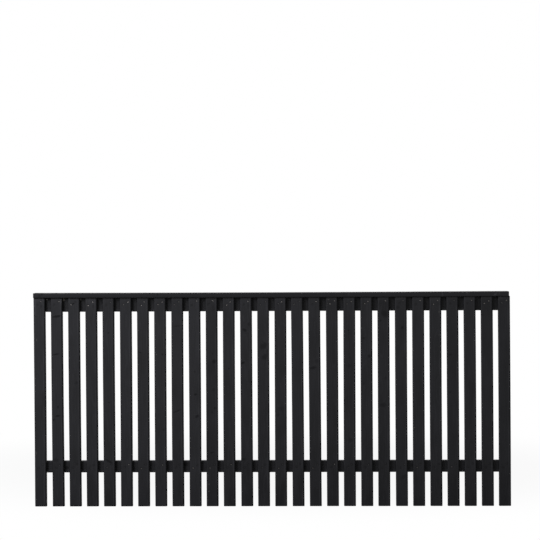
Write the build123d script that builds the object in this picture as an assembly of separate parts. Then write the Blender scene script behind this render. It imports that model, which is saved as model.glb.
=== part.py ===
"""Slatted timber fence panel: upright slats nailed to the front of two rails, under a flat cap.

Millimetres. X runs along the panel, -Y is the slatted front, +Y the back with the rails, +Z is up.
The origin is the middle of the top rail's back face, the face that bears on a post or bracket.
"""

import os

from build123d import *

# Slats: planed boards, set out at an even pitch
slat_count = 28
slat_width = 45.0
slat_thickness = 16.0
slat_length = 792.0
slat_gap = 20.0

# Rails: the two horizontal boards behind the slats
rail_thickness = 20.0
top_rail_height = 54.0
lower_rail_height = 45.0
lower_rail_above_feet = 126.5

# Cap: the flat board that sheds water from the slat ends
cap_thickness = 18.0
cap_overhang = 9.0

# Arrises: the rounded long edges of every board, and the eased edges of the slats' feet
arris_radius = 4.0
arris_share_of_board = 0.45
foot_easing = 2.0
foot_share_of_arris = 0.75

# Setting out along the panel
slat_pitch = slat_width + slat_gap
panel_width = slat_count * slat_width + (slat_count - 1) * slat_gap
left_end = -panel_width / 2

# Setting out through the panel, from the rails' back face forwards
rail_mid = -rail_thickness / 2
slat_mid = -rail_thickness - slat_thickness / 2
cap_depth = rail_thickness + slat_thickness + 2 * cap_overhang
cap_mid = cap_overhang - cap_depth / 2

# Setting out up the panel, with the top rail centred on the origin and flush with the slat tops
slat_top = top_rail_height / 2
slat_feet = slat_top - slat_length
lower_rail_mid = slat_feet + lower_rail_above_feet + lower_rail_height / 2


def arris(*sides):
    """The arris radius of a board, held within what its thinner side can carry."""
    return min(arris_radius, arris_share_of_board * min(sides))


def slat(number):
    """One upright slat: a rounded board section carried up to the cap, with its foot eased."""
    middle = left_end + slat_width / 2 + number * slat_pitch
    foot = Plane(origin=(middle, slat_mid, slat_feet), x_dir=(1, 0, 0), z_dir=(0, 0, 1))
    rounding = arris(slat_width, slat_thickness)
    board = extrude(foot * RectangleRounded(slat_width, slat_thickness, rounding), slat_length)
    foot_edges = board.faces().sort_by(Axis.Z)[0].edges()
    return fillet(foot_edges, min(foot_easing, foot_share_of_arris * rounding))


def rail(height, middle):
    """One horizontal rail: a rounded board section carried along the whole panel."""
    end = Plane(origin=(left_end, rail_mid, middle), x_dir=(0, 1, 0), z_dir=(1, 0, 0))
    rounding = arris(rail_thickness, height)
    return extrude(end * RectangleRounded(rail_thickness, height, rounding), panel_width)


def cap_rail():
    """The cap: a board laid flat on the slat tops and the top rail, eased all round."""
    board = Pos(0, cap_mid, slat_top + cap_thickness / 2) * Box(panel_width, cap_depth, cap_thickness)
    return fillet(board.edges(), arris(cap_depth, cap_thickness))


def panel_nodes():
    """Every board of the panel by its node name."""
    nodes = {f"slat_{number + 1:02d}": slat(number) for number in range(slat_count)}
    nodes["top_rail"] = rail(top_rail_height, 0)
    nodes["lower_rail"] = rail(lower_rail_height, lower_rail_mid)
    nodes["cap_rail"] = cap_rail()
    return nodes


os.makedirs("parts", exist_ok=True)
for name, solid in panel_nodes().items():
    export_step(solid, f"parts/{name}.step")
print(f"panel {panel_width:.0f} wide, {slat_length + cap_thickness:.0f} high, feet at {slat_feet:.1f}")
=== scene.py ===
# %% [markdown]
# # A black slatted fence panel
# This lesson dresses a low garden fence panel. The real one is a row of planed spruce slats, nailed
# to the front of two rails and closed by a flat cap, all stained black. The CAD model already places
# every board, so what is left is the surface: eased arrises, grain, knots, nails, scuffs and light.
# A board is a simple formula, a rounded rectangle carried along a line, so the pieces are worked out
# with numpy. That keeps every board exactly in its place and lets each one differ by a few numbers.

# %% Load the frame
from math import pi, radians

import bpy
import numpy as np
from mathutils import Matrix, Vector


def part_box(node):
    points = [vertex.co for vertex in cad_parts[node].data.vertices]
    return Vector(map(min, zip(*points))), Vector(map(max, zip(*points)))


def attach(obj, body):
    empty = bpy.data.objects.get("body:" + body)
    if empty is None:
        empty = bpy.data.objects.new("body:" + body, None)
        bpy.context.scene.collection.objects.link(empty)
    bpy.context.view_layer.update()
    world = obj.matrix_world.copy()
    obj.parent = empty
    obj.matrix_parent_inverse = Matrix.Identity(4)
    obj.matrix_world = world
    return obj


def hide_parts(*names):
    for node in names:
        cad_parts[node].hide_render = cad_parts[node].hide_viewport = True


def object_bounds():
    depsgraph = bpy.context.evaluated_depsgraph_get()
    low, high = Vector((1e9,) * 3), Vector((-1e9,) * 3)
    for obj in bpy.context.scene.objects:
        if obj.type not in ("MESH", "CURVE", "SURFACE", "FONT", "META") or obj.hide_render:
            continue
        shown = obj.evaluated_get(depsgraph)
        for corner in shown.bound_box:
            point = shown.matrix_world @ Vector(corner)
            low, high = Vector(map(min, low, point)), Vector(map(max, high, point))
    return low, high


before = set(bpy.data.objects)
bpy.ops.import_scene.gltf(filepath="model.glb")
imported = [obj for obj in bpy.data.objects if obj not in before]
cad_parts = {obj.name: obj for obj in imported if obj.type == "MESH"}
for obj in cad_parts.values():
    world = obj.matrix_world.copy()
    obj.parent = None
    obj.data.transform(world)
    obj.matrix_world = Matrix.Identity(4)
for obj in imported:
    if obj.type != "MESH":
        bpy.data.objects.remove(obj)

# Blender counts in metres, and the boards' own sizes below are in millimetres
MM = 0.001
SLATS = sorted(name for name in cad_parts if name.startswith("slat_"))
cad_low, cad_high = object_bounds()
feet_level = cad_low.z
PANEL_WIDTH = (cad_high.x - cad_low.x) / MM
print(f"{len(SLATS)} slats, panel {PANEL_WIDTH:.0f} mm wide, feet at {feet_level:.4f} m")

# %% [markdown]
# ## The camera
# The portrait is almost square on, from a little to the right of the middle and just above the cap,
# with a long lens. A lens shift could keep the edges parallel, but the photograph shows the slight
# fan and tilt of a plain hand-held camera, so position, aim and a small roll are set instead and the
# shift stays at zero. The values came from fitting the panel's edges.

# %% Camera
LENS_MM = 102.37
CAMERA_AT = (0.1157, -5.8246, 0.2439)
TURN_LEFT = radians(1.202)
LOOK_DOWN = radians(1.136)
ROLL = radians(-0.279)

camera = bpy.data.objects.new("camera", bpy.data.cameras.new("camera"))
bpy.context.collection.objects.link(camera)
camera.data.lens = LENS_MM
camera.matrix_world = (
    Matrix.Translation(CAMERA_AT)
    @ Matrix.Rotation(TURN_LEFT, 4, "Z")
    @ Matrix.Rotation(pi / 2 - LOOK_DOWN, 4, "X")
    @ Matrix.Rotation(ROLL, 4, "Z")
)
bpy.context.scene.camera = camera
bpy.context.scene.view_settings.view_transform = "Standard"
print(f"camera {-CAMERA_AT[1]:.1f} m away, lens {LENS_MM} mm")

# %% [markdown]
# ## Colours and nodes
# Colours are written as the hex values a paint program shows. Blender's shaders count light, so one
# function turns each sRGB value into linear light. A second small function adds any node, sets its
# properties and fills its inputs, and every finish below is a list of such calls.


# %% Colour and node helpers
def linear(code):
    """Hex to linear light: a power of 2.4 above 0.04045, a straight line below it."""
    srgb = np.array([int(code[i:i + 2], 16) for i in (1, 3, 5)]) / 255
    light = np.where(srgb > 0.04045, ((srgb + 0.055) / 1.055) ** 2.4, srgb / 12.92)
    return (*light.tolist(), 1.0)


def add_node(tree, kind, inputs=None, **settings):
    """Add one node: set its properties, then fill each input with a value or a link from a socket."""
    made = tree.nodes.new(kind)
    for name, value in settings.items():
        setattr(made, name, value)
    for name, value in (inputs or {}).items():
        if isinstance(value, bpy.types.NodeSocket):
            tree.links.new(value, made.inputs[name])
        else:
            made.inputs[name].default_value = value
    return made


def blank_tree(owner):
    """The emptied node tree of a material or a world."""
    owner.use_nodes = True
    owner.node_tree.nodes.clear()
    return owner.node_tree


# Socket numbers of the Mix node when it mixes colours
MIX_FACTOR, MIX_A, MIX_B, MIX_RESULT = 0, 6, 7, 2
print("white is", linear("#ffffff"))

# %% [markdown]
# ## Meshes from arrays
# Every piece is a grid of points, so its faces follow from the grid alone. A modifier stack could
# bevel and bend a box as well, but a grid gives each point known board coordinates, and the finish
# reads those back as attributes to lay the grain along the board.


# %% Mesh helpers
def wrap_quads(rows, columns):
    """Quads of a tube: in each row point i joins point i + 1, wrapping round, and the row above."""
    corner = np.arange(rows * columns).reshape(rows, columns)
    right = np.roll(corner, -1, axis=1)
    return np.stack([corner[:-1], right[:-1], right[1:], corner[1:]], -1).reshape(-1, 4)


def new_piece(name, points, faces):
    """A smooth-shaded mesh object from an array of points and a list of faces."""
    mesh = bpy.data.meshes.new(name)
    mesh.from_pydata(points.reshape(-1, 3), [], faces)
    mesh.shade_smooth()
    piece = bpy.data.objects.new(name, mesh)
    bpy.context.collection.objects.link(piece)
    return piece


def paint(piece, name, *values):
    """Store three arrays, one number for each point, as a vector attribute that a finish can read."""
    layer = piece.data.attributes.new(name, "FLOAT_VECTOR", "POINT")
    vectors = np.stack(np.broadcast_arrays(*values), -1)
    layer.data.foreach_set("vector", vectors.astype(np.float32).ravel())


print("mesh helpers ready")

# %% [markdown]
# ## The shape of a board
# A planed board is a rounded rectangle carried along a straight line. Each point of the outline is a
# hub plus the arris radius times a direction: on an arris the direction turns, on a face the hub
# slides. Rows stand close together only about a knot, a nail or an eased end. This way round, a
# board costs few faces and its arrises stay true arcs.

# %% Outline and rows
ARRIS = 4.0
ARC_STEPS = 5
BACK_STEPS, EDGE_STEPS, FRONT_STEPS = 8, 3, 26
EASE_STEPS = 4
CLOSE_REACH, CLOSE_STEP = 9.0, 1.5
CLOSE_ROWS = np.arange(-CLOSE_REACH, CLOSE_REACH + CLOSE_STEP / 2, CLOSE_STEP)
ROW_GRID, END_CLEAR = 0.5, 1.0


def outline(half_across, half_deep, arris):
    """Hubs and directions round a board: a point is its hub plus the arris radius times its direction."""
    hubs = np.array([(1, 1), (-1, 1), (-1, -1), (1, -1)]) * (half_across - arris, half_deep - arris)
    places, turns = [], []
    for corner, steps in enumerate((BACK_STEPS, EDGE_STEPS, FRONT_STEPS, EDGE_STEPS)):
        next_hub = hubs[(corner + 1) % len(hubs)]
        places.append(np.repeat(hubs[corner:corner + 1], ARC_STEPS + 1, axis=0))
        turns.append(np.linspace(corner, corner + 1, ARC_STEPS + 1))
        places.append(np.linspace(hubs[corner], next_hub, steps + 1)[1:-1])
        turns.append(np.full(steps - 1, corner + 1.0))
    turn = np.concatenate(turns) * pi / 2
    return np.concatenate(places), np.stack([np.cos(turn), np.sin(turn)], -1)


def rows_along(length, step, marks, first_ease, last_ease):
    """Place and inset of each row: even steps, close ones about marks, a quarter circle at eased ends."""
    even = np.arange(step, length, step)
    close = (np.reshape(marks, (-1, 1)) + CLOSE_ROWS).ravel()
    inner = np.unique(np.round(np.concatenate([even, close]) / ROW_GRID)) * ROW_GRID
    inner = inner[(inner > first_ease + END_CLEAR) & (inner < length - last_ease - END_CLEAR)]
    square = np.array([pi / 2])
    first = np.linspace(0, pi / 2, EASE_STEPS + 1) if first_ease else square
    last = np.linspace(pi / 2, 0, EASE_STEPS + 1) if last_ease else square
    place = [first_ease * (1 - np.cos(first)), inner, length - last_ease * (1 - np.cos(last))]
    inset = [first_ease * (1 - np.sin(first)), 0 * inner, last_ease * (1 - np.sin(last))]
    return np.concatenate(place), np.concatenate(inset)


def board_grid(half_sizes, arris, eases, marks, step):
    """A straight board: its outline, drawn in by the inset of each row, at each place along it."""
    half_across, half_deep, half_length = half_sizes
    hub, direction = outline(half_across, half_deep, arris)
    place, inset = rows_along(2 * half_length, step, marks, *eases)
    along = np.repeat(place[:, None], len(hub), axis=1)
    across, deep = np.moveaxis(hub + (arris - inset[:, None, None]) * direction, -1, 0)
    return along, across, deep, direction


slat_low, slat_high = (np.array(corner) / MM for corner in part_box(SLATS[0]))
half_width, half_thickness, _ = (slat_high - slat_low) / 2
print(len(outline(half_width, half_thickness, ARRIS)[0]), "points round a slat")

# %% [markdown]
# ## Marks on a board
# Knots, scuffs, rubs, patches of painted light and nail dents are ovals on the board's face, given as
# place along, place across, two half sizes, strength and slant. Past the edge of the face, the place
# across runs on down the side. A picture could be painted on instead, but an oval is a few numbers,
# and the same numbers can shape the face and colour it.

# %% Ovals and the log
# Where the pith of the log may lie from the board's middle, and how it wanders along the board
PITH_ASIDE, PITH_LEAN = 22, 0.02
PITH_NEAR, PITH_FAR = 18, 60
SWAY, SWAY_LENGTH = 1.5, 150
HEAVE, HEAVE_LENGTH = 2, 210


def ovals(along, across, marks):
    """Squared distance of each point from each oval, in half sizes, with the ovals' strengths."""
    numbers = np.moveaxis(np.reshape(marks, (-1, 6, 1, 1)), 1, 0)
    mark_along, mark_across, half_across, half_along, strength, slant = numbers
    aside = across - mark_across
    above = along - mark_along - slant * aside
    return (aside / half_across) ** 2 + (above / half_along) ** 2, strength


def place_in_log(along, across, deep, chance, phase):
    """Distances from the pith, a line that leans along the board and sways and heaves as sines."""
    pith_across = chance.uniform(-PITH_ASIDE, PITH_ASIDE) + chance.uniform(-PITH_LEAN, PITH_LEAN) * along
    pith_across = pith_across + SWAY * np.sin(along / SWAY_LENGTH + phase[2])
    pith_deep = chance.choice([-1, 1]) * chance.uniform(PITH_NEAR, PITH_FAR)
    pith_deep = pith_deep + HEAVE * np.sin(along / HEAVE_LENGTH + phase[3])
    return across - pith_across, deep - pith_deep


def height_above_feet(node):
    """Height of a node's middle above the slats' feet, in millimetres."""
    low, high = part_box(node)
    return ((low.z + high.z) / 2 - feet_level) / MM


TOP_RAIL, LOWER_RAIL = height_above_feet("top_rail"), height_above_feet("lower_rail")
print(f"rails {LOWER_RAIL:.0f} and {TOP_RAIL:.0f} mm above the feet")

# %% [markdown]
# ## Making a board
# A knot has shrunk below the face, with a fine lip about it, and pushes the growth rings aside. A nail
# dent sinks, with a ring of painted shade in it. A rub leaves the stain thinner, some rubs are painted
# light, and a scuff bares the wood. Beside the right arris lies a painted highlight line, and on the
# arris a line of painted shade.
# The board bends as a half sine between the places that hold it. It also keeps the distance of each
# point from the pith of its log, because the rings of sawn timber are circles about that line, cut by
# the planed faces. One function makes every board, so slats, rails and cap differ only in numbers.

# %% Board maker
KNOT_SINK, KNOT_LIP = 0.35, 0.1
LIP_OUT, LIP_WIDTH = 1.2, 0.2
WAVE, WAVE_LENGTH, WAVE_WIDTH = 0.04, 41, 9
RING_PUSH, PUSH_REACH = 2.5, 1.5
# Painted highlight: a lighter line beside the right arris, which comes and goes in patches
HIGHLIGHT_IN, HIGHLIGHT_HALF = 8, 1.6
PATCH_LONG, PATCH_SHORT, PATCH_ACROSS = 67, 23, 5
# Painted shade: a darker line on the right arris, and a dark ring in each nail dent
ARRIS_SHADE_WIDTH, ARRIS_SHADE_SOFT = 5.5, 2.0
DENT_SHADE = 0.7
# Points whose normal turns further back than this lie on the back face
BACK_TURN = 0.5
ROW_STEP = 8
# Each board is cut from its own stretch of the log
LOG_APART = 3000.0


def make_board(node, axes, eases, seed, knots=(), scuffs=(), rubs_and_light=(), dents=(), bend=(0, 0), lean=(0, 0),
               held=(LOWER_RAIL, TOP_RAIL), sawn=(0, 0), arris=ARRIS, tone=0, soak=0, saw=0, arris_shade=0,
               highlight_in=HIGHLIGHT_IN, step=ROW_STEP):
    """A board in its CAD box: outline swept along, plus waves, minus knots and dents, bent as a sine."""
    axes = np.array(axes, float)
    low, high = (np.array(corner) / MM + off * axes[2] for corner, off in zip(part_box(node), sawn))
    half_sizes = np.abs(axes @ (high - low)) / 2
    half_across, half_deep, half_length = half_sizes
    marks = [mark[0] for mark in (*knots, *scuffs, *rubs_and_light, *dents)]
    along, across, deep, direction = board_grid(half_sizes, arris, eases, marks, step)
    chance = np.random.default_rng(seed)
    phase = chance.uniform(0, 2 * pi, 6)

    # Distance round the section from the middle of the face, and from each mark on it
    on_back = direction[:, 1] > BACK_TURN
    down_side = np.sign(across) * (deep + half_deep)
    girth = np.where(on_back, across, across + down_side)
    knot_away, knot_strength = ovals(along, girth, knots)
    dent_away, dent_depth = ovals(along, girth, dents)
    scuff_away, scuff_strength = ovals(along, girth, scuffs)
    rub_and_light_away, rub_and_light_strength = ovals(along, girth, rubs_and_light)

    # Shape
    core = (knot_strength * np.exp(-knot_away ** 2)).sum(0)
    lip = (knot_strength * np.exp(-((np.sqrt(knot_away) - LIP_OUT) / LIP_WIDTH) ** 2)).sum(0)
    dent = np.maximum(-direction[:, 1], 0) * (dent_depth * np.exp(-dent_away)).sum(0)
    wave = np.sin(along / WAVE_LENGTH + phase[0]) * np.cos(across / WAVE_WIDTH + phase[1])
    relief = WAVE * wave - KNOT_SINK * core + KNOT_LIP * lip - dent
    swing = np.sin(pi * (along - held[0]) / (held[1] - held[0]))
    leaning = np.interp(along, (0, 2 * half_length), lean)
    local = np.stack([
        across + relief * direction[:, 0] + bend[0] * swing + leaning,
        deep + relief * direction[:, 1] + bend[1] * swing,
        along], -1)
    points = (low + high) / 2 - half_length * axes[2] + local @ axes
    rows, columns = along.shape
    ends = [list(range(columns))[::-1], list(range((rows - 1) * columns, rows * columns))]
    piece = new_piece(f"{node}_timber", points * MM, wrap_quads(rows, columns).tolist() + ends)
    for end in piece.data.polygons[-2:]:
        end.use_smooth = False

    # What the finish reads
    patch = np.sin(along / PATCH_LONG + phase[4] + across / PATCH_ACROSS)
    patch = 0.5 + 0.5 * patch * np.sin(along / PATCH_SHORT + phase[5])
    # Painted highlight: a lighter line in patches beside the right arris; then rubs, some of them painted
    # light
    wear_and_light = patch * np.exp(-((half_across - girth - highlight_in) / HIGHLIGHT_HALF) ** 2)
    wear_and_light = wear_and_light + (rub_and_light_strength * np.exp(-rub_and_light_away)).sum(0)
    # Painted shade on the right arris, added to the extra stain the cap soaked up
    soak_and_shade = soak + arris_shade * np.clip((across - half_across + ARRIS_SHADE_WIDTH) / ARRIS_SHADE_SOFT, 0, 1)
    # Painted shade: a dark ring in each nail dent
    dent_shade = DENT_SHADE * np.exp(-dent_away).sum(0)
    scuff = (scuff_strength * np.exp(-scuff_away)).sum(0) * ~on_back
    push = RING_PUSH * (knot_strength * np.exp(-knot_away / PUSH_REACH)).sum(0)
    paint(piece, "log", *place_in_log(along, across, deep, chance, phase), along + LOG_APART * seed)
    paint(piece, "marks", np.maximum.reduce([core, soak_and_shade, dent_shade]), wear_and_light, scuff)
    paint(piece, "traits", push, tone, saw)
    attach(piece, "root")
    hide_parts(node)
    return piece


print("a board is ready to be made")

# %% [markdown]
# ## The nail places
# Each slat is nailed twice to each rail, one nail up and to the right, one down and to the left, so
# that the pair doesn't split the same fibres. A person with a nail gun is never exact, so each place
# moves by a seeded couple of millimetres. The slats need these places too, for the dents, each with
# a dark ring of painted shade in it.

# %% Nail places
NAIL_ASIDE, NAIL_ABOVE, NAIL_STRAY = 8.0, 6.0, 2.6
TOP_NAILS_UP, LOWER_NAILS_UP = 4.8, 3.0
DENT_DEPTH, DENT_RADIUS = 0.5, 4.0
NAIL_SEED = 6270


def dents_at(spots):
    """A round dent about each nail place, as the six numbers of an oval."""
    return [(*spot, DENT_RADIUS, DENT_RADIUS, DENT_DEPTH, 0) for spot in spots]


chance = np.random.default_rng(NAIL_SEED)
pair = np.array([(NAIL_ABOVE, NAIL_ASIDE), (-NAIL_ABOVE, -NAIL_ASIDE)])
stray = chance.uniform(-NAIL_STRAY, NAIL_STRAY, (len(SLATS), 2, 2, 2))
rail_places = np.array([(TOP_RAIL + TOP_NAILS_UP, 0.0), (LOWER_RAIL + LOWER_NAILS_UP, 0.0)])
nail_places = rail_places[:, None, :] + pair + stray
print(nail_places.shape[:3], "slats, rails and nails at each crossing")

# %% [markdown]
# ## The slats
# The slats stand with their grain upright, so the long axis runs from foot to cap, and each foot is
# eased. Knots, scuffs and rubs stand where the photograph shows them, and so do the slats that were
# nailed a little off the even row. Some rubs are painted light, and the right arris of each slat is
# darkened with painted shade. Seeded numbers only fill in what no one can see at that size: a slight
# bow and crook between the rails, and where in the log each board was cut.

# %% Knots, scuffs, rubs and painted light of the slats
# Height above the feet, place across, half width, half height, strength, slant
KNOTS = {
    1: [(758, 11, 7, 8, 0.25, 0), (721, -14, 5, 3, 0.5, 0)],
    2: [(721, 2, 22, 4.8, 1.0, 0.15), (578, -3, 12, 3.2, 0.9, 0.1), (377, 2, 3, 6, 0.8, 0),
        (344, 1, 9, 4, 0.9, 0.1), (328, -15, 5, 3.5, 1.0, 0.5), (175, -7, 10, 7, 0.4, 0)],
    3: [(769, -2, 7, 3.5, 1.0, 0.5), (469, 9, 6.5, 6, 0.5, 0)],
    4: [(759, 11, 8, 9, 0.3, 0), (445, 19, 4, 6, 0.8, 0)],
    5: [(659, 1, 3.5, 3.5, 0.65, 0), (394, 0, 3.5, 3.5, 0.5, 0), (171, -2, 14, 5, 0.85, -0.5)],
    7: [(584, -12, 7, 2.5, 0.8, -0.3)],
    8: [(576, 9, 4, 3.7, 0.75, 0), (290, 12, 4, 4, 0.65, 0)],
    9: [(683, 0, 17, 3.2, 0.45, 0.1), (361, -2, 16, 3.5, 0.65, 0.4)],
    10: [(510, 0, 4.5, 4.5, 0.4, 0), (424, 2, 6.5, 4.5, 0.8, 0), (341, 8, 8, 6.5, 0.75, 0.3)],
    11: [(750, 11, 10, 15, 0.35, 0), (578, 4, 2.5, 5, 0.4, 0), (549, 11, 9, 8, 0.85, 0),
         (526, -1, 20, 25, 0.27, 0.2), (442, 7, 6.5, 6, 0.4, 0), (372, 12, 5, 4.5, 0.75, 0),
         (355, 1, 5, 5, 0.3, 0), (203, -1, 8, 3.3, 0.7, 0.2)],
    12: [(522, 0, 2, 2.2, 0.95, 0), (428, 11, 2.2, 2.2, 0.7, 0)],
    13: [(760, 13, 7, 8, 0.3, 0), (689, 13, 8.5, 7, 0.45, 0), (667, -5, 8, 6, 0.85, -0.3),
         (543, -13, 7, 4.7, 1.0, 0.2), (177, -12, 8, 6, 0.6, 0)],
    14: [(607, 3, 15, 12, 0.6, 0.3), (585, 17, 5, 12, 0.5, 0), (565, 7, 13, 11, 0.6, 0.2)],
    15: [(370, 6, 14, 12, 0.38, 0), (346, -10, 6, 5.5, 0.5, 0)],
    16: [(505, -18, 4, 5, 0.35, 0)],
    17: [(549, 9, 9, 7, 0.35, 0), (523, -6, 13, 5.8, 0.7, 0.2)],
    19: [(665, -2, 2.5, 2.5, 0.9, 0), (531, 0, 13, 7.5, 0.3, 0), (249, 4, 10, 7.5, 0.33, 0)],
    20: [(635, -10, 6, 4, 0.7, 0), (567, 13, 8.5, 6.5, 0.75, 0), (464, -11, 4, 4, 0.45, 0)],
    21: [(762, 4, 19, 21, 0.3, 0), (726, 6, 16, 13, 0.7, -0.3), (701, -11, 5, 5, 0.6, 0),
         (482, 8, 7, 8, 0.33, 0), (382, -3, 14, 9, 0.5, 0)],
    22: [(751, -10, 7, 8, 0.5, 0), (674, 6, 5, 6, 0.65, 0), (110, 6, 11, 8, 0.38, 0.4)],
    24: [(765, 13, 6, 8, 0.3, 0)],
    25: [(572, -9, 7, 4.2, 0.55, 0), (430, -10, 5.5, 5.5, 0.38, 0)],
    26: [(243, 7, 6, 5, 0.2, 0)],
    27: [(721, -15, 5, 6, 0.3, 0), (350, 18, 4, 5, 0.7, 0)],
}
SCUFFS = {
    1: [(725, -4, 16, 1.5, 0.5, 0.1), (632, -11, 4, 9, 0.62, 0.9), (205, -15, 1.5, 16, 0.75, 0),
        (105, -12, 3, 3, 0.6, 0)],
    4: [(762, -11, 6, 6, 0.5, 0)],
    8: [(577, -15, 2, 2.5, 1.0, 0)],
    11: [(118, -17, 1.6, 18, 0.65, 0), (85, -13, 2.5, 6, 0.75, 0), (57, -14, 3, 5, 0.8, 0),
         (24, -17, 1.6, 6, 0.65, 0)],
    14: [(205, -17, 1.6, 22, 0.65, 0)],
    18: [(782, -13, 3, 4, 0.75, 0), (764, -15, 2, 14, 0.62, 0)],
    23: [(297, -16, 2, 2.5, 0.9, 0), (511, 0, 12, 1.2, 0.5, 0.1)],
    24: [(734, 13, 2, 4, 0.8, 0), (646, 13, 2, 4, 0.7, 0), (602, 13, 2, 3, 0.7, 0)],
}
# Rubs of thinner stain; those just below the cap are partly painted light
RUBS_AND_LIGHT = {
    1: [(772, -17, 5, 25, 1.0, 0), (735, -17, 4, 20, 0.5, 0), (785, 0, 20, 6, 0.6, 0)],
    2: [(778, 17, 3, 12, 1.3, 0), (780, -17, 3, 12, 0.3, 0)],
    3: [(780, -17, 3, 12, 0.6, 0)],
    4: [(778, -2, 18, 11, 0.4, 0)],
    11: [(92, -13, 5, 35, 0.3, 0)],
    22: [(784, 0, 14, 8, 0.2, 0)],
    23: [(784, 0, 20, 8, 0.25, 0)],
    24: [(782, 0, 20, 10, 0.35, 0)],
    28: [(788, -14, 6, 4, 0.9, 0)],
}
# Painted light: every slat is lightened a little below the cap
TOP_PAINTED_LIGHT = (787, 0, 30, 7, 0.25, 0)
for kind, table in (("knots", KNOTS), ("scuffs", SCUFFS), ("rubs_and_light", RUBS_AND_LIGHT)):
    print(sum(map(len, table.values())), kind)

# %% Slats
# A board's own axes in the frame: across its face, into its back, along its grain
UPRIGHT = ((1, 0, 0), (0, 1, 0), (0, 0, 1))
FOOT_EASE = 2.0
BOW, CROOK = 0.7, 0.4
# Strength of the painted shade on each slat's right arris
ARRIS_SHADE = 0.9
SLAT_SEED = 7
# How far a slat stands off the even row, at its foot and at its top
LEANS = {1: (-2, -2.5), 2: (0, -2), 3: (0, -1.5), 4: (0, -1), 5: (0, -1), 10: (1, 0), 13: (1.5, 0),
         16: (1, -2.5), 17: (1, -2.5), 18: (1, -1), 20: (0.5, -1), 21: (0, -1.5), 22: (1.5, -1),
         23: (1.5, -1), 24: (1.5, -1), 25: (1.5, -2.5), 26: (1, -2.5), 27: (0.5, -3), 28: (0, -3.5)}
NO_LEAN = (0, 0)
# Slats that took the stain thinner than their neighbours, or thicker below zero
TONES = {2: -0.3, 4: 0.3, 5: -0.4, 6: 0.2, 8: 0.5, 10: 0.8, 11: -0.6, 13: -0.5, 14: -0.4, 16: 0.3,
         18: -0.4, 21: -0.3, 22: 0.4, 24: 0.4, 26: 0.2}
TONE_SPREAD = 0.2

boards = []
chance = np.random.default_rng(SLAT_SEED)
for number, node in enumerate(SLATS, 1):
    boards.append(make_board(
        node, UPRIGHT, (FOOT_EASE, 0), number,
        knots=KNOTS.get(number, ()),
        scuffs=SCUFFS.get(number, ()),
        rubs_and_light=[*RUBS_AND_LIGHT.get(number, ()), TOP_PAINTED_LIGHT],
        dents=dents_at(nail_places[number - 1].reshape(-1, 2)),
        bend=chance.uniform(-1, 1, 2) * (CROOK, BOW),
        lean=LEANS.get(number, NO_LEAN),
        tone=TONES.get(number, 0) + chance.uniform(-TONE_SPREAD, TONE_SPREAD),
        arris_shade=ARRIS_SHADE))
print(len(boards), "slats,", sum(len(board.data.polygons) for board in boards), "faces")

# %% [markdown]
# ## The rails and the cap
# The rails lie behind the slats with their grain along the panel. They are the same timber straight
# from a coarser planer, so their finish shows faint knife marks across the grain. The cap is one more
# board laid flat, eased at its ends too. Its weather face is the top, so its own axes are turned. Cap
# and top rail took more stain than the slats, and the top rail's darker tone is partly painted shade
# under the cap. Neither was sawn to the exact width.

# %% Knots, rubs and painted light of the rails and the cap
TOP_RAIL_KNOTS = [(263, -6, 8, 10, 0.8, 0), (742, 9, 6, 8, 0.7, 0),
                  (1188, -3, 9, 12, 0.8, 0), (1604, 8, 5, 6, 0.7, 0)]
LOWER_RAIL_KNOTS = [(118, 5, 6, 8, 0.8, 0), (571, -8, 8, 11, 0.8, 0),
                    (1022, 3, 5, 7, 0.7, 0), (1437, -4, 9, 11, 0.8, 0)]
# Pale specks on the top rail, in the first gaps under the cap, in the scuff colour
PALE_SPECKS = [(47, -20, 3.5, 3.5, 1.6, 0), (110, -20, 5, 4.5, 2.2, 0), (174, -20, 4, 4, 1.8, 0)]
# The cap's front edge begins 27 mm across
CAP_KNOTS = [(25, 37, 4, 5, 0.9, 0), (34, 32, 4, 4, 0.9, 0), (472, 34, 4, 4.5, 1.0, 0),
             (860, -6, 9, 11, 0.9, 0), (1310, 8, 7, 9, 0.8, 0)]
# The first lightens the right part of the cap's front with painted light; the others are rubs
CAP_RUBS_AND_LIGHT = [(1800, 34, 30, 600, 0.3, 0), (1192, 34, 5, 5, 0.5, 0), (1544, 36, 7, 2.5, 0.9, 0),
            (1638, 32, 4, 4, 0.9, 0), (1742, 37.5, 4, 3.5, 2.0, -1), (1757, 34, 3, 3, 0.9, 0)]
CAP_NAIL_FIRST, CAP_NAIL_PITCH, CAP_NAIL_ASIDE = 105, 265, -11.0
cap_nail_row = np.arange(CAP_NAIL_FIRST, PANEL_WIDTH, CAP_NAIL_PITCH)
CAP_NAILS = np.stack([cap_nail_row, np.full_like(cap_nail_row, CAP_NAIL_ASIDE)], -1)
print(len(CAP_NAILS), "nails through the cap")

# %% Rails and cap
LYING = ((0, 0, -1), (0, 1, 0), (1, 0, 0))
FLAT = ((0, -1, 0), (0, 0, -1), (1, 0, 0))
UNEASED = (0, 0)
TOP_RAIL_SEED, LOWER_RAIL_SEED, CAP_SEED = 31, 32, 33
# The top rail's darker tone is partly painted shade under the cap
TOP_RAIL_TONE_AND_SHADE, LOWER_RAIL_TONE, CAP_TONE = -3.2, -0.3, -4.0
KNIFE_MARKS = 1
RAIL_STEP, CAP_STEP = 12, 10
# The cap has crisper arrises, soaked up more stain, and sags a little between its ends
CAP_ARRIS, CAP_EASE = 2.5, 1.0
# Where the cap's painted highlight line lies, in from its front arris
CAP_HIGHLIGHT_IN = 2
CAP_SOAK = 0.25
CAP_SAG = 1.2
# How far the ends of the cap and of the top rail stand off the even panel, at the left and at the right
CAP_SAWN, TOP_RAIL_SAWN = (-2, -8), (0, -5)

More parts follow.
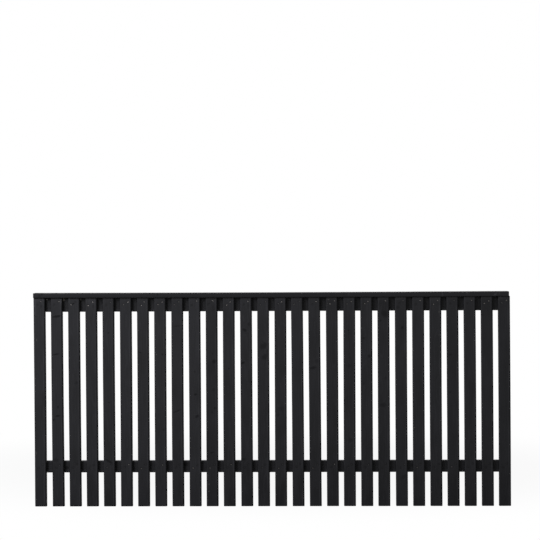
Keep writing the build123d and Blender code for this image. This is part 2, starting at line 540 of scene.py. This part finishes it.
boards.append(make_board(
    "top_rail", LYING, UNEASED, TOP_RAIL_SEED, TOP_RAIL_KNOTS, PALE_SPECKS,
    sawn=TOP_RAIL_SAWN, tone=TOP_RAIL_TONE_AND_SHADE, saw=KNIFE_MARKS, step=RAIL_STEP))
boards.append(make_board(
    "lower_rail", LYING, UNEASED, LOWER_RAIL_SEED, LOWER_RAIL_KNOTS,
    tone=LOWER_RAIL_TONE, saw=KNIFE_MARKS, step=RAIL_STEP))
boards.append(make_board(
    "cap_rail", FLAT, (CAP_EASE, CAP_EASE), CAP_SEED, CAP_KNOTS, rubs_and_light=CAP_RUBS_AND_LIGHT, dents=dents_at(CAP_NAILS),
    bend=(0, CAP_SAG), held=(0, PANEL_WIDTH), sawn=CAP_SAWN, arris=CAP_ARRIS,
    tone=CAP_TONE, soak=CAP_SOAK, highlight_in=CAP_HIGHLIGHT_IN, step=CAP_STEP))
print("rails and cap,", sum(len(board.data.polygons) for board in boards[-3:]), "faces")

# %% [markdown]
# ## The nails
# A nail head is a small lathe shape: a few rings about its own axis, flat on top with a softened rim.
# All heads of a row are one mesh, since more than a hundred separate objects would only slow the scene.
# How much stain covers each head is stored on its points, because some heads in the photograph shine
# bare, some only glint, and some are quite black.

# %% Nail head maker
# Radius and height of each ring, from the shank up
HEAD_RINGS = np.array([(2.4, -1.2), (2.4, -0.34), (2.2, -0.2), (1.2, -0.12)])
HEAD_SEGMENTS = 12


def nail_heads(name, centres, covers, right, up, out):
    """Heads as rings of radius and height: centre + radius (cos right + sin up) + height out."""
    angle = np.linspace(0, 2 * pi, HEAD_SEGMENTS, endpoint=False)
    spoke = np.cos(angle)[:, None] * np.array(right) + np.sin(angle)[:, None] * np.array(up)
    head = HEAD_RINGS[:, 0, None, None] * spoke + HEAD_RINGS[:, 1, None, None] * np.array(out)
    points = centres[:, None, None, :] + head
    rings, each = len(HEAD_RINGS), len(HEAD_RINGS) * HEAD_SEGMENTS
    starts = np.arange(len(centres))[:, None, None] * each
    sides = (wrap_quads(rings, HEAD_SEGMENTS) + starts).reshape(-1, 4).tolist()
    lids = np.stack([np.arange(HEAD_SEGMENTS)[::-1], np.arange(each - HEAD_SEGMENTS, each)])
    piece = new_piece(name, points * MM, sides + (lids + starts).reshape(-1, HEAD_SEGMENTS).tolist())
    paint(piece, "cover", np.repeat(covers, each), 0.0, 0.0)
    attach(piece, "root")
    return piece


print(len(HEAD_RINGS) * HEAD_SEGMENTS, "points on a nail head")

# %% Nail heads
# How much stain covers a head: B is mostly bare, s shines a little, d is dark
COVER = {"B": 0.38, "s": 0.56, "d": 0.95}
LOWER_COVER, CAP_COVER = 0.08, 0.6
# One letter a slat, first for the upper right nails of a row, then for the lower left ones
SHINE = {
    "nails_top_row": ("sBdBsBBBsBBBBsBsBBBBBsBBsBBB", "ddBBdsBBsddBdsssdBsBdddBddBs"),
    "nails_lower_row": ("ssdddBdBdssBsdsdsBdsdssdsddd", "dddssdBddBBddsBdBdsdddBsBddd"),
}

slat_middles = np.array([np.add(*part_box(node)) / 2 / MM for node in SLATS])
slat_length = (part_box(SLATS[0])[1].z - feet_level) / MM
front_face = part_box(SLATS[0])[0].y / MM
leans = np.array([LEANS.get(number, NO_LEAN) for number in range(1, len(SLATS) + 1)])
feet_off, top_off = leans.T[:, :, None]
nails = []
for rail, (name, shine) in enumerate(SHINE.items()):
    up_slat, across_slat = np.moveaxis(nail_places[:, rail], -1, 0)
    leaning = feet_off + (top_off - feet_off) * up_slat / slat_length
    x = slat_middles[:, None, 0] + across_slat + leaning
    z = feet_level / MM + up_slat
    centres = np.stack([x, np.full_like(x, front_face), z], -1).reshape(-1, 3)
    covers = np.array([[COVER[letter] for letter in letters] for letters in zip(*shine)]).ravel()
    nails.append(nail_heads(name, centres, covers + rail * LOWER_COVER, (1, 0, 0), (0, 0, 1), (0, -1, 0)))

cap_low, cap_high = (np.array(corner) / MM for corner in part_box("cap_rail"))
cap_centres = np.stack([
    cap_low[0] + CAP_NAILS[:, 0],
    (cap_low[1] + cap_high[1]) / 2 - CAP_NAILS[:, 1],
    cap_high[2] - CAP_SAG * np.sin(pi * CAP_NAILS[:, 0] / PANEL_WIDTH)], -1)
cap_covers = np.full(len(CAP_NAILS), CAP_COVER)
nails.append(nail_heads("cap_nails", cap_centres, cap_covers, (1, 0, 0), (0, 1, 0), (0, 0, 1)))
print(sum(len(piece.data.polygons) for piece in nails), "faces on the nail heads")

# %% [markdown]
# ## Black stained spruce
# The boards are planed spruce under a thin black stain. A stain is not a paint film: it sinks deeper
# into soft early wood than into the hard late wood of each ring, leaves knots darkest, and wears thin
# on the arrises. So the colour is mixed from a deep and a thin stain by rings, fibres and slow clouds,
# and the same rings and fibres raise a very fine relief that breaks up the satin shine.

# %% Grain of the spruce
# Real fibres are far finer than a pixel, so they are drawn as coarse as they need to show
RING_MM = 2.6
FIBRE_MM, CLOUD_MM, GRIT_MM = (1.4, 1.4, 55.0), (40.0, 40.0, 110.0), (1.6, 1.6, 4.0)
GRAIN_DETAIL = 2.0
RING_WAVER = 3.0
LATE_STARTS, LATE_FULL = 0.45, 0.95

# Planed, then stained: a dark satin face in which rings and fibres only just show
wood = bpy.data.materials.new("black_stained_planed_spruce")
tree = blank_tree(wood)
log, marks, traits = (
    add_node(tree, "ShaderNodeAttribute", attribute_name=name).outputs["Vector"]
    for name in ("log", "marks", "traits"))
# The first channel holds knots together with painted shade and the cap's extra stain, the second rubs
# together with painted light and a painted highlight line
knot_and_shade, wear_and_light, scuff = add_node(tree, "ShaderNodeSeparateXYZ", {0: marks}).outputs
ring_push, tone, saw = add_node(tree, "ShaderNodeSeparateXYZ", {0: traits}).outputs
along = add_node(tree, "ShaderNodeSeparateXYZ", {0: log}).outputs["Z"]

# Noises stretched along the board: fibres, slow clouds of stain, and grit that frays rubs and scuffs
grains = []
for size in (FIBRE_MM, CLOUD_MM, GRIT_MM):
    per_mm = tuple(1 / mm for mm in size)
    scaled = add_node(tree, "ShaderNodeVectorMath", {0: log, 1: per_mm}, operation="MULTIPLY")
    noise = add_node(tree, "ShaderNodeTexNoise", {
        "Vector": scaled.outputs[0], "Scale": 1.0, "Detail": GRAIN_DETAIL})
    grains.append(noise.outputs[0])
fibre, cloud, grit = grains

# Growth rings: distance from the pith in ring widths, rising slowly to late wood and dropping at once
per_ring = (1 / RING_MM, 1 / RING_MM, 0)
flat = add_node(tree, "ShaderNodeVectorMath", {0: log, 1: per_ring}, operation="MULTIPLY").outputs[0]
rings_out = add_node(tree, "ShaderNodeVectorMath", {0: flat}, operation="LENGTH").outputs["Value"]
pushed = add_node(tree, "ShaderNodeMath", {0: rings_out, 1: ring_push}, operation="ADD").outputs[0]
wavered = add_node(tree, "ShaderNodeMath", {0: cloud, 1: RING_WAVER, 2: pushed}, operation="MULTIPLY_ADD")
year = add_node(tree, "ShaderNodeMath", {0: wavered.outputs[0]}, operation="FRACT").outputs[0]
late = add_node(tree, "ShaderNodeMapRange", {
    "Value": year, "From Min": LATE_STARTS, "From Max": LATE_FULL},
    interpolation_type="SMOOTHSTEP").outputs[0]
print(f"a ring every {RING_MM} mm, fibres {FIBRE_MM[0]} mm wide")

# %% [markdown]
# ## The stain on the grain
# The stain's thinness is a plain sum: late wood, fibres, clouds and the board's own tone each add their
# share. The colours then lie over each other, deep and thin stain first, then knots that drank more
# together with painted shade, rubs that wore it thin together with painted light and a painted
# highlight line, and scuffs down to grey wood. A colour ramp over one noise would be shorter, but it
# can't tell a knot from a rub. Relief and shine follow the same grain.

# %% Colour of the stain
STAIN_DEEP, STAIN_THIN = "#1a1a1b", "#2b2b2d"
# The knot colour also paints shade on the arris and in nail dents, and the worn colour also paints light
# and a highlight line
KNOT_AND_SHADE_STAIN, WEAR_AND_LIGHT_STAIN, RAW_SCUFF = "#0d0d0e", "#4a494b", "#8a857c"
THIN_BASE = -0.4
LATE_THINS, FIBRE_THINS, CLOUD_THINS, TONE_THINS = 0.4, 0.8, 1.5, 0.3
THIN_STARTS, THIN_FULL = 0.45, 1.45
BARE_STARTS, BARE_FULL = 0.2, 0.5

thin = THIN_BASE
for part, share in ((late, LATE_THINS), (fibre, FIBRE_THINS), (cloud, CLOUD_THINS), (tone, TONE_THINS)):
    summed = add_node(tree, "ShaderNodeMath", {0: part, 1: share, 2: thin}, operation="MULTIPLY_ADD")
    thin = summed.outputs[0]
thinness = add_node(tree, "ShaderNodeMapRange", {
    "Value": thin, "From Min": THIN_STARTS, "From Max": THIN_FULL}).outputs[0]
frayed_wear_and_light = add_node(tree, "ShaderNodeMath", {0: wear_and_light, 1: grit}, operation="MULTIPLY").outputs[0]
frayed_scuff = add_node(tree, "ShaderNodeMath", {0: scuff, 1: grit}, operation="MULTIPLY").outputs[0]
bared = add_node(tree, "ShaderNodeMapRange", {
    "Value": frayed_scuff, "From Min": BARE_STARTS, "From Max": BARE_FULL},
    interpolation_type="SMOOTHSTEP").outputs[0]
colour = linear(STAIN_DEEP)
for share, code in (
        (thinness, STAIN_THIN), (knot_and_shade, KNOT_AND_SHADE_STAIN), (frayed_wear_and_light, WEAR_AND_LIGHT_STAIN), (bared, RAW_SCUFF)):
    laid = add_node(tree, "ShaderNodeMix", {
        MIX_FACTOR: share, MIX_A: colour, MIX_B: linear(code)}, data_type="RGBA")
    colour = laid.outputs[MIX_RESULT]
print("stain from", STAIN_DEEP, "to", STAIN_THIN)

# %% Relief and shine of the stain
# Real knife marks are 2 or 3 mm apart, too fine to show, so they are drawn further apart
KNIFE_MARK_MM = 6.0
LATE_RISE, FIBRE_RISE, KNIFE_RISE = 0.06, 0.12, 0.04
SATIN, SATIN_SPREAD = 0.58, 0.06
CLOUD_LOW, CLOUD_HIGH = 0.3, 0.7
FACE_GLOSS, KNOT_GLOSS = 0.5, 0.3
WOOD_IOR = 1.5

# Fine relief in millimetres: raised late wood, fibres, and knife marks on the rails
turns = add_node(tree, "ShaderNodeMath", {0: along, 1: 2 * pi / KNIFE_MARK_MM}, operation="MULTIPLY")
ripple = add_node(tree, "ShaderNodeMath", {0: turns.outputs[0]}, operation="SINE")
knife = add_node(tree, "ShaderNodeMath", {0: ripple.outputs[0], 1: saw}, operation="MULTIPLY").outputs[0]
height = 0.0
for part, rise in ((late, LATE_RISE), (fibre, FIBRE_RISE), (knife, KNIFE_RISE)):
    summed = add_node(tree, "ShaderNodeMath", {0: part, 1: rise, 2: height}, operation="MULTIPLY_ADD")
    height = summed.outputs[0]
bump = add_node(tree, "ShaderNodeBump", {"Height": height, "Strength": 1.0, "Distance": MM})
satin = add_node(tree, "ShaderNodeMapRange", {
    "Value": cloud, "From Min": CLOUD_LOW, "From Max": CLOUD_HIGH,
    "To Min": SATIN - SATIN_SPREAD, "To Max": SATIN + SATIN_SPREAD})
gloss = add_node(tree, "ShaderNodeMapRange", {"Value": knot_and_shade, "To Min": FACE_GLOSS, "To Max": KNOT_GLOSS})
shader = add_node(tree, "ShaderNodeBsdfPrincipled", {
    "Base Color": colour, "Roughness": satin.outputs[0], "IOR": WOOD_IOR,
    "Specular IOR Level": gloss.outputs[0], "Normal": bump.outputs[0]})
add_node(tree, "ShaderNodeOutputMaterial", {"Surface": shader.outputs[0]})
for board in boards:
    board.data.materials.append(wood)
print(len(tree.nodes), "nodes in the stained spruce")

# %% [markdown]
# ## Zinc on the nails
# The nails are hot-dip galvanised: bright grey metal, dulled by handling. The stain was brushed over
# most of them, so each head mixes bare zinc with a dry black film that has a torn edge. A colour mixed
# half way would look like grey paint, while a torn film leaves a real glint of metal.

# %% Galvanised nail finish
ZINC, NAIL_STAIN = "#94908a", "#1a1a1b"
ZINC_ROUGHNESS, FILM_ROUGHNESS = 0.4, 0.5
TEAR_MM, TEAR_DETAIL = 2.0, 1.0
FILM_STARTS, FILM_FULL = 0.92, 1.08

# Dipped in zinc, then brushed over: small soft glints with ragged edges
zinc = bpy.data.materials.new("galvanised_steel_nail")
tree = blank_tree(zinc)
place = add_node(tree, "ShaderNodeTexCoord").outputs["Object"]
cover = add_node(tree, "ShaderNodeAttribute", attribute_name="cover").outputs["Vector"]
cover = add_node(tree, "ShaderNodeSeparateXYZ", {0: cover}).outputs["X"]
torn = add_node(tree, "ShaderNodeTexNoise", {
    "Vector": place, "Scale": 1 / (TEAR_MM * MM), "Detail": TEAR_DETAIL}).outputs[0]
over = add_node(tree, "ShaderNodeMath", {0: cover, 1: torn}, operation="ADD").outputs[0]
film = add_node(tree, "ShaderNodeMapRange", {"Value": over, "From Min": FILM_STARTS, "From Max": FILM_FULL})
bare = add_node(tree, "ShaderNodeBsdfPrincipled", {
    "Base Color": linear(ZINC), "Metallic": 1.0, "Roughness": ZINC_ROUGHNESS})
stain = add_node(tree, "ShaderNodeBsdfPrincipled", {
    "Base Color": linear(NAIL_STAIN), "Roughness": FILM_ROUGHNESS})
shown = add_node(tree, "ShaderNodeMixShader", {0: film.outputs[0], 1: bare.outputs[0], 2: stain.outputs[0]})
add_node(tree, "ShaderNodeOutputMaterial", {"Surface": shown.outputs[0]})
for piece in nails:
    piece.data.materials.append(zinc)
print(len(nails), "rows of nail heads finished")

# %% [markdown]
# ## The studio
# The photograph shows the panel cut out on white. A white world would wash over the black stain,
# because even a dark varnish mirrors a few percent of what stands before it. So the surroundings are
# a dim grey room, and only what the camera looks at is white: camera rays everywhere, and mirror and
# glass rays on the far side of the panel, where that background stands.

# %% World
WHITE, ROOM_GREY = "#ffffff", "#88888a"
# How far a ray has to point to the back, as a share of its length, before it meets the white
BACKDROP_STARTS, BACKDROP_FULL = 0.25, 0.7


def sees_white(tree, behind):
    """One for camera rays, and for mirror and glass rays the share by which they meet what is behind."""
    path = add_node(tree, "ShaderNodeLightPath").outputs
    mirrored = add_node(tree, "ShaderNodeMath", {
        0: path["Is Glossy Ray"], 1: path["Is Transmission Ray"]}, operation="MAXIMUM").outputs[0]
    met = add_node(tree, "ShaderNodeMath", {0: mirrored, 1: behind}, operation="MULTIPLY").outputs[0]
    seen = add_node(tree, "ShaderNodeMath", {0: path["Is Camera Ray"], 1: met}, operation="MAXIMUM")
    return seen.outputs[0]


world = bpy.data.worlds.new("studio")
bpy.context.scene.world = world
tree = blank_tree(world)
toward = add_node(tree, "ShaderNodeTexCoord").outputs["Generated"]
to_back = add_node(tree, "ShaderNodeSeparateXYZ", {0: toward}).outputs["Y"]
behind = add_node(tree, "ShaderNodeMapRange", {
    "Value": to_back, "From Min": BACKDROP_STARTS, "From Max": BACKDROP_FULL}).outputs["Result"]
room = add_node(tree, "ShaderNodeBackground", {"Color": linear(ROOM_GREY)})
white = add_node(tree, "ShaderNodeBackground", {"Color": linear(WHITE)})
shown = add_node(tree, "ShaderNodeMixShader", {
    0: sees_white(tree, behind), 1: room.outputs[0], 2: white.outputs[0]})
add_node(tree, "ShaderNodeOutputWorld", {"Surface": shown.outputs[0]})
print("room grey", round(linear(ROOM_GREY)[0], 3))

# %% [markdown]
# ## The lamps
# The photograph is brightest at the upper left and darkest at the lower right, and each slat throws a
# narrow shadow to its right on the rail behind. A broad key lamp stands high at the front left, far
# enough for those shadows to be alike along the panel. A weaker lamp as high, but nearer, makes the
# light fall off downwards and to the right. A sun lamp alone would light every height the same. Both
# lamps are a little cool, as the photograph is.

# %% Lamps
# Places, aim and sizes in metres
SOFTBOX_WHITE = "#f2f3ff"
LAMP_AIM = (-0.1, 0.0, -0.35)
KEY_PLACE, KEY_SIZE, KEY_WATTS = (-3.0, -4.6, 2.0), 1.6, 63
TOP_PLACE, TOP_SIZE, TOP_WATTS = (-2.2, -2.2, 1.9), 1.2, 31


def add_lamp(name, place, size, watts):
    """A square area lamp at a place, turned so that its face looks at the panel."""
    lamp = bpy.data.objects.new(name, bpy.data.lights.new(name, "AREA"))
    bpy.context.collection.objects.link(lamp)
    lamp.data.size = size
    lamp.data.energy = watts
    lamp.data.color = linear(SOFTBOX_WHITE)[:3]
    facing = Vector(LAMP_AIM) - Vector(place)
    lamp.matrix_world = Matrix.Translation(place) @ facing.to_track_quat("-Z", "Y").to_matrix().to_4x4()
    print(f"{name}: {watts} W, {facing.length:.1f} m from what it lights")


add_lamp("key_lamp", KEY_PLACE, KEY_SIZE, KEY_WATTS)
add_lamp("top_lamp", TOP_PLACE, TOP_SIZE, TOP_WATTS)

# %% [markdown]
# ## The floor
# A pale floor carries the soft shadow. An endless plane would show a horizon, so it is an oval sheet
# under the panel, wide enough for the shadow and no more.

# %% Floor
# Half sizes, and how far the sheet reaches in front of the panel, in metres
FLOOR_HALF = (2.2, 1.5)
FLOOR_FORWARD = 0.55
FLOOR_RINGS, FLOOR_SPOKES = 24, 96
floor_middle = FLOOR_HALF[1] - FLOOR_FORWARD


def disc(half_x, half_y, centre_y, level, rings, spokes):
    """An oval sheet: radius share times the cosine and sine of the angle, stretched to the half sizes."""
    share = np.linspace(0, 1, rings + 1)[1:, None]
    angle = np.linspace(0, 2 * pi, spokes, endpoint=False)[None, :]
    x = half_x * share * np.cos(angle)
    y = centre_y + half_y * share * np.sin(angle)
    return np.stack([x, y, np.full_like(x, level)], -1)


floor_points = disc(*FLOOR_HALF, floor_middle, feet_level, FLOOR_RINGS, FLOOR_SPOKES)
floor_quads = wrap_quads(FLOOR_RINGS, FLOOR_SPOKES)[:, ::-1].tolist()
floor = new_piece("floor", floor_points, floor_quads + [list(range(FLOOR_SPOKES))])
print("floor", len(floor.data.polygons), "faces")

# %% [markdown]
# ## White paper for the floor
# The sheet is mostly a white glow for the camera, so that it melts into the background, with a share of
# real diffuse white that darkens where the panel shades it. The share fades to nothing towards the edge
# of the sheet, so no rim shows. To the light itself the sheet is grey, or it would lift the black stain
# from below.

# %% Floor finish
PAPER_WHITE, PAPER_GREY = "#f2f2f2", "#828282"
SHADOW_SHARE = 0.08
FADE_STARTS, FADE_ENDS = 0.35, 0.98
PANEL_BACK = 0.0

# Matt paper: plain white, with only the soft shadow of the panel on it
floor_white = bpy.data.materials.new("matt_white_paper")
tree = blank_tree(floor_white)
place = add_node(tree, "ShaderNodeTexCoord").outputs["Object"]
local = add_node(tree, "ShaderNodeMapping", {
    "Vector": place,
    "Location": (0, -floor_middle / FLOOR_HALF[1], 0),
    "Scale": (1 / FLOOR_HALF[0], 1 / FLOOR_HALF[1], 0)})
away = add_node(tree, "ShaderNodeVectorMath", {0: local.outputs[0]}, operation="LENGTH")
share = add_node(tree, "ShaderNodeMapRange", {
    "Value": away.outputs["Value"], "From Min": FADE_STARTS, "From Max": FADE_ENDS,
    "To Min": SHADOW_SHARE, "To Max": 0.0}, interpolation_type="SMOOTHSTEP")
paper = add_node(tree, "ShaderNodeBsdfDiffuse", {"Color": linear(PAPER_WHITE)})
glow = add_node(tree, "ShaderNodeEmission", {"Color": linear(WHITE)})
seen = add_node(tree, "ShaderNodeMixShader", {
    0: share.outputs[0], 1: glow.outputs[0], 2: paper.outputs[0]})
grey_paper = add_node(tree, "ShaderNodeBsdfDiffuse", {"Color": linear(PAPER_GREY)})
to_back = add_node(tree, "ShaderNodeSeparateXYZ", {0: place}).outputs["Y"]
behind = add_node(tree, "ShaderNodeMath", {0: to_back, 1: PANEL_BACK}, operation="GREATER_THAN").outputs[0]
shown = add_node(tree, "ShaderNodeMixShader", {
    0: sees_white(tree, behind), 1: grey_paper.outputs[0], 2: seen.outputs[0]})
add_node(tree, "ShaderNodeOutputMaterial", {"Surface": shown.outputs[0]})
floor.data.materials.append(floor_white)
print("floor shows", SHADOW_SHARE, "of its shade")
